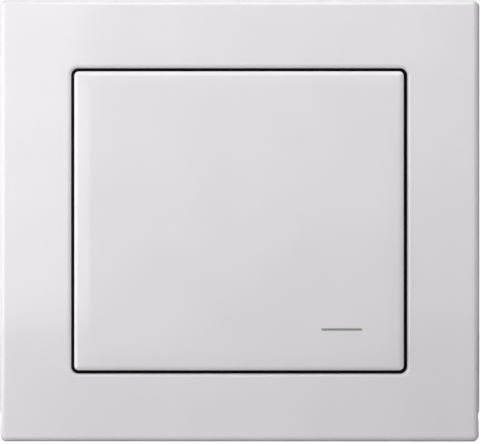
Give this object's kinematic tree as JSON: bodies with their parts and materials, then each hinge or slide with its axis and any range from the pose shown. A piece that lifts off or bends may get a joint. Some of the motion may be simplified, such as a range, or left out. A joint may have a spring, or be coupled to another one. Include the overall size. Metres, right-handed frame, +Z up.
{
  "type": "wireless light switch",
  "caption": "Wall-mounted wireless light switch: wide rocker with a thin indicator line in a plain cover frame.",
  "frame": {"origin": "centre of the back face, on the wall's surface", "axes": "+X to the right seen from the front, +Y into the wall, +Z up"},
  "size_m": [0.0872, 0.0144, 0.0804],
  "materials": {
    "white_plastic": "glossy moulded",
    "plate_plastic": "fine eroded",
    "black_plastic": "fine eroded",
    "lens_plastic": "translucent",
    "foam_tape": "foam",
    "steel": "plated",
    "contact_metal": "plated",
    "copper": "rolled strip",
    "board": "solder mask",
    "chip_resin": "moulded",
    "ceramic": "fired",
    "led_resin": "clear resin"
  },
  "bodies": {
    "housing": {"wall_plate": "plate_plastic", "adhesive_strip_upper": "foam_tape", "adhesive_strip_lower": "foam_tape", "module_base": "black_plastic", "module_cover": "black_plastic", "cover_screws": "steel", "circuit_board": "board", "battery_holder": "black_plastic", "positive_contact": "contact_metal", "negative_contact": "contact_metal", "coin_cell": "steel", "radio_chip": "chip_resin", "crystal": "contact_metal", "antenna_strip": "copper", "chip_capacitors": "ceramic", "chip_resistors": "chip_resin", "indicator_led": "led_resin", "switch_body_upper": "chip_resin", "switch_body_lower": "chip_resin", "switch_shield_upper": "contact_metal", "switch_shield_lower": "contact_metal", "snap_dome_upper": "contact_metal", "snap_dome_lower": "contact_metal", "cover_frame": "white_plastic"},
    "rocker": {"rocker": "white_plastic", "rocker_yoke": "plate_plastic", "indicator_lens": "lens_plastic"},
    "plunger_upper": {"plunger_upper": "plate_plastic"},
    "plunger_lower": {"plunger_lower": "plate_plastic"}
  },
  "joints": [
    {"name": "rocker_tilt", "type": "hinge", "parent": "housing", "child": "rocker", "pos_m": [0, -0.0113, 0], "axis": [1, 0, 0], "range_deg": [-2.2, 2.2], "stiffness_Nm_per_rad": 1.2},
    {"name": "plunger_upper_press", "type": "slide", "parent": "housing", "child": "plunger_upper", "axis": [0, 1, 0], "range_m": [-0.0005, 0.0005], "deforming": ["snap_dome_upper"]},
    {"name": "plunger_lower_press", "type": "slide", "parent": "housing", "child": "plunger_lower", "axis": [0, 1, 0], "range_m": [-0.0005, 0.0005], "deforming": ["snap_dome_lower"]}
  ],
  "couplings": [
    {"joint": "plunger_upper_press", "follows": "rocker_tilt", "m_per_rad": -0.012},
    {"joint": "plunger_lower_press", "follows": "rocker_tilt", "m_per_rad": 0.012}
  ]
}
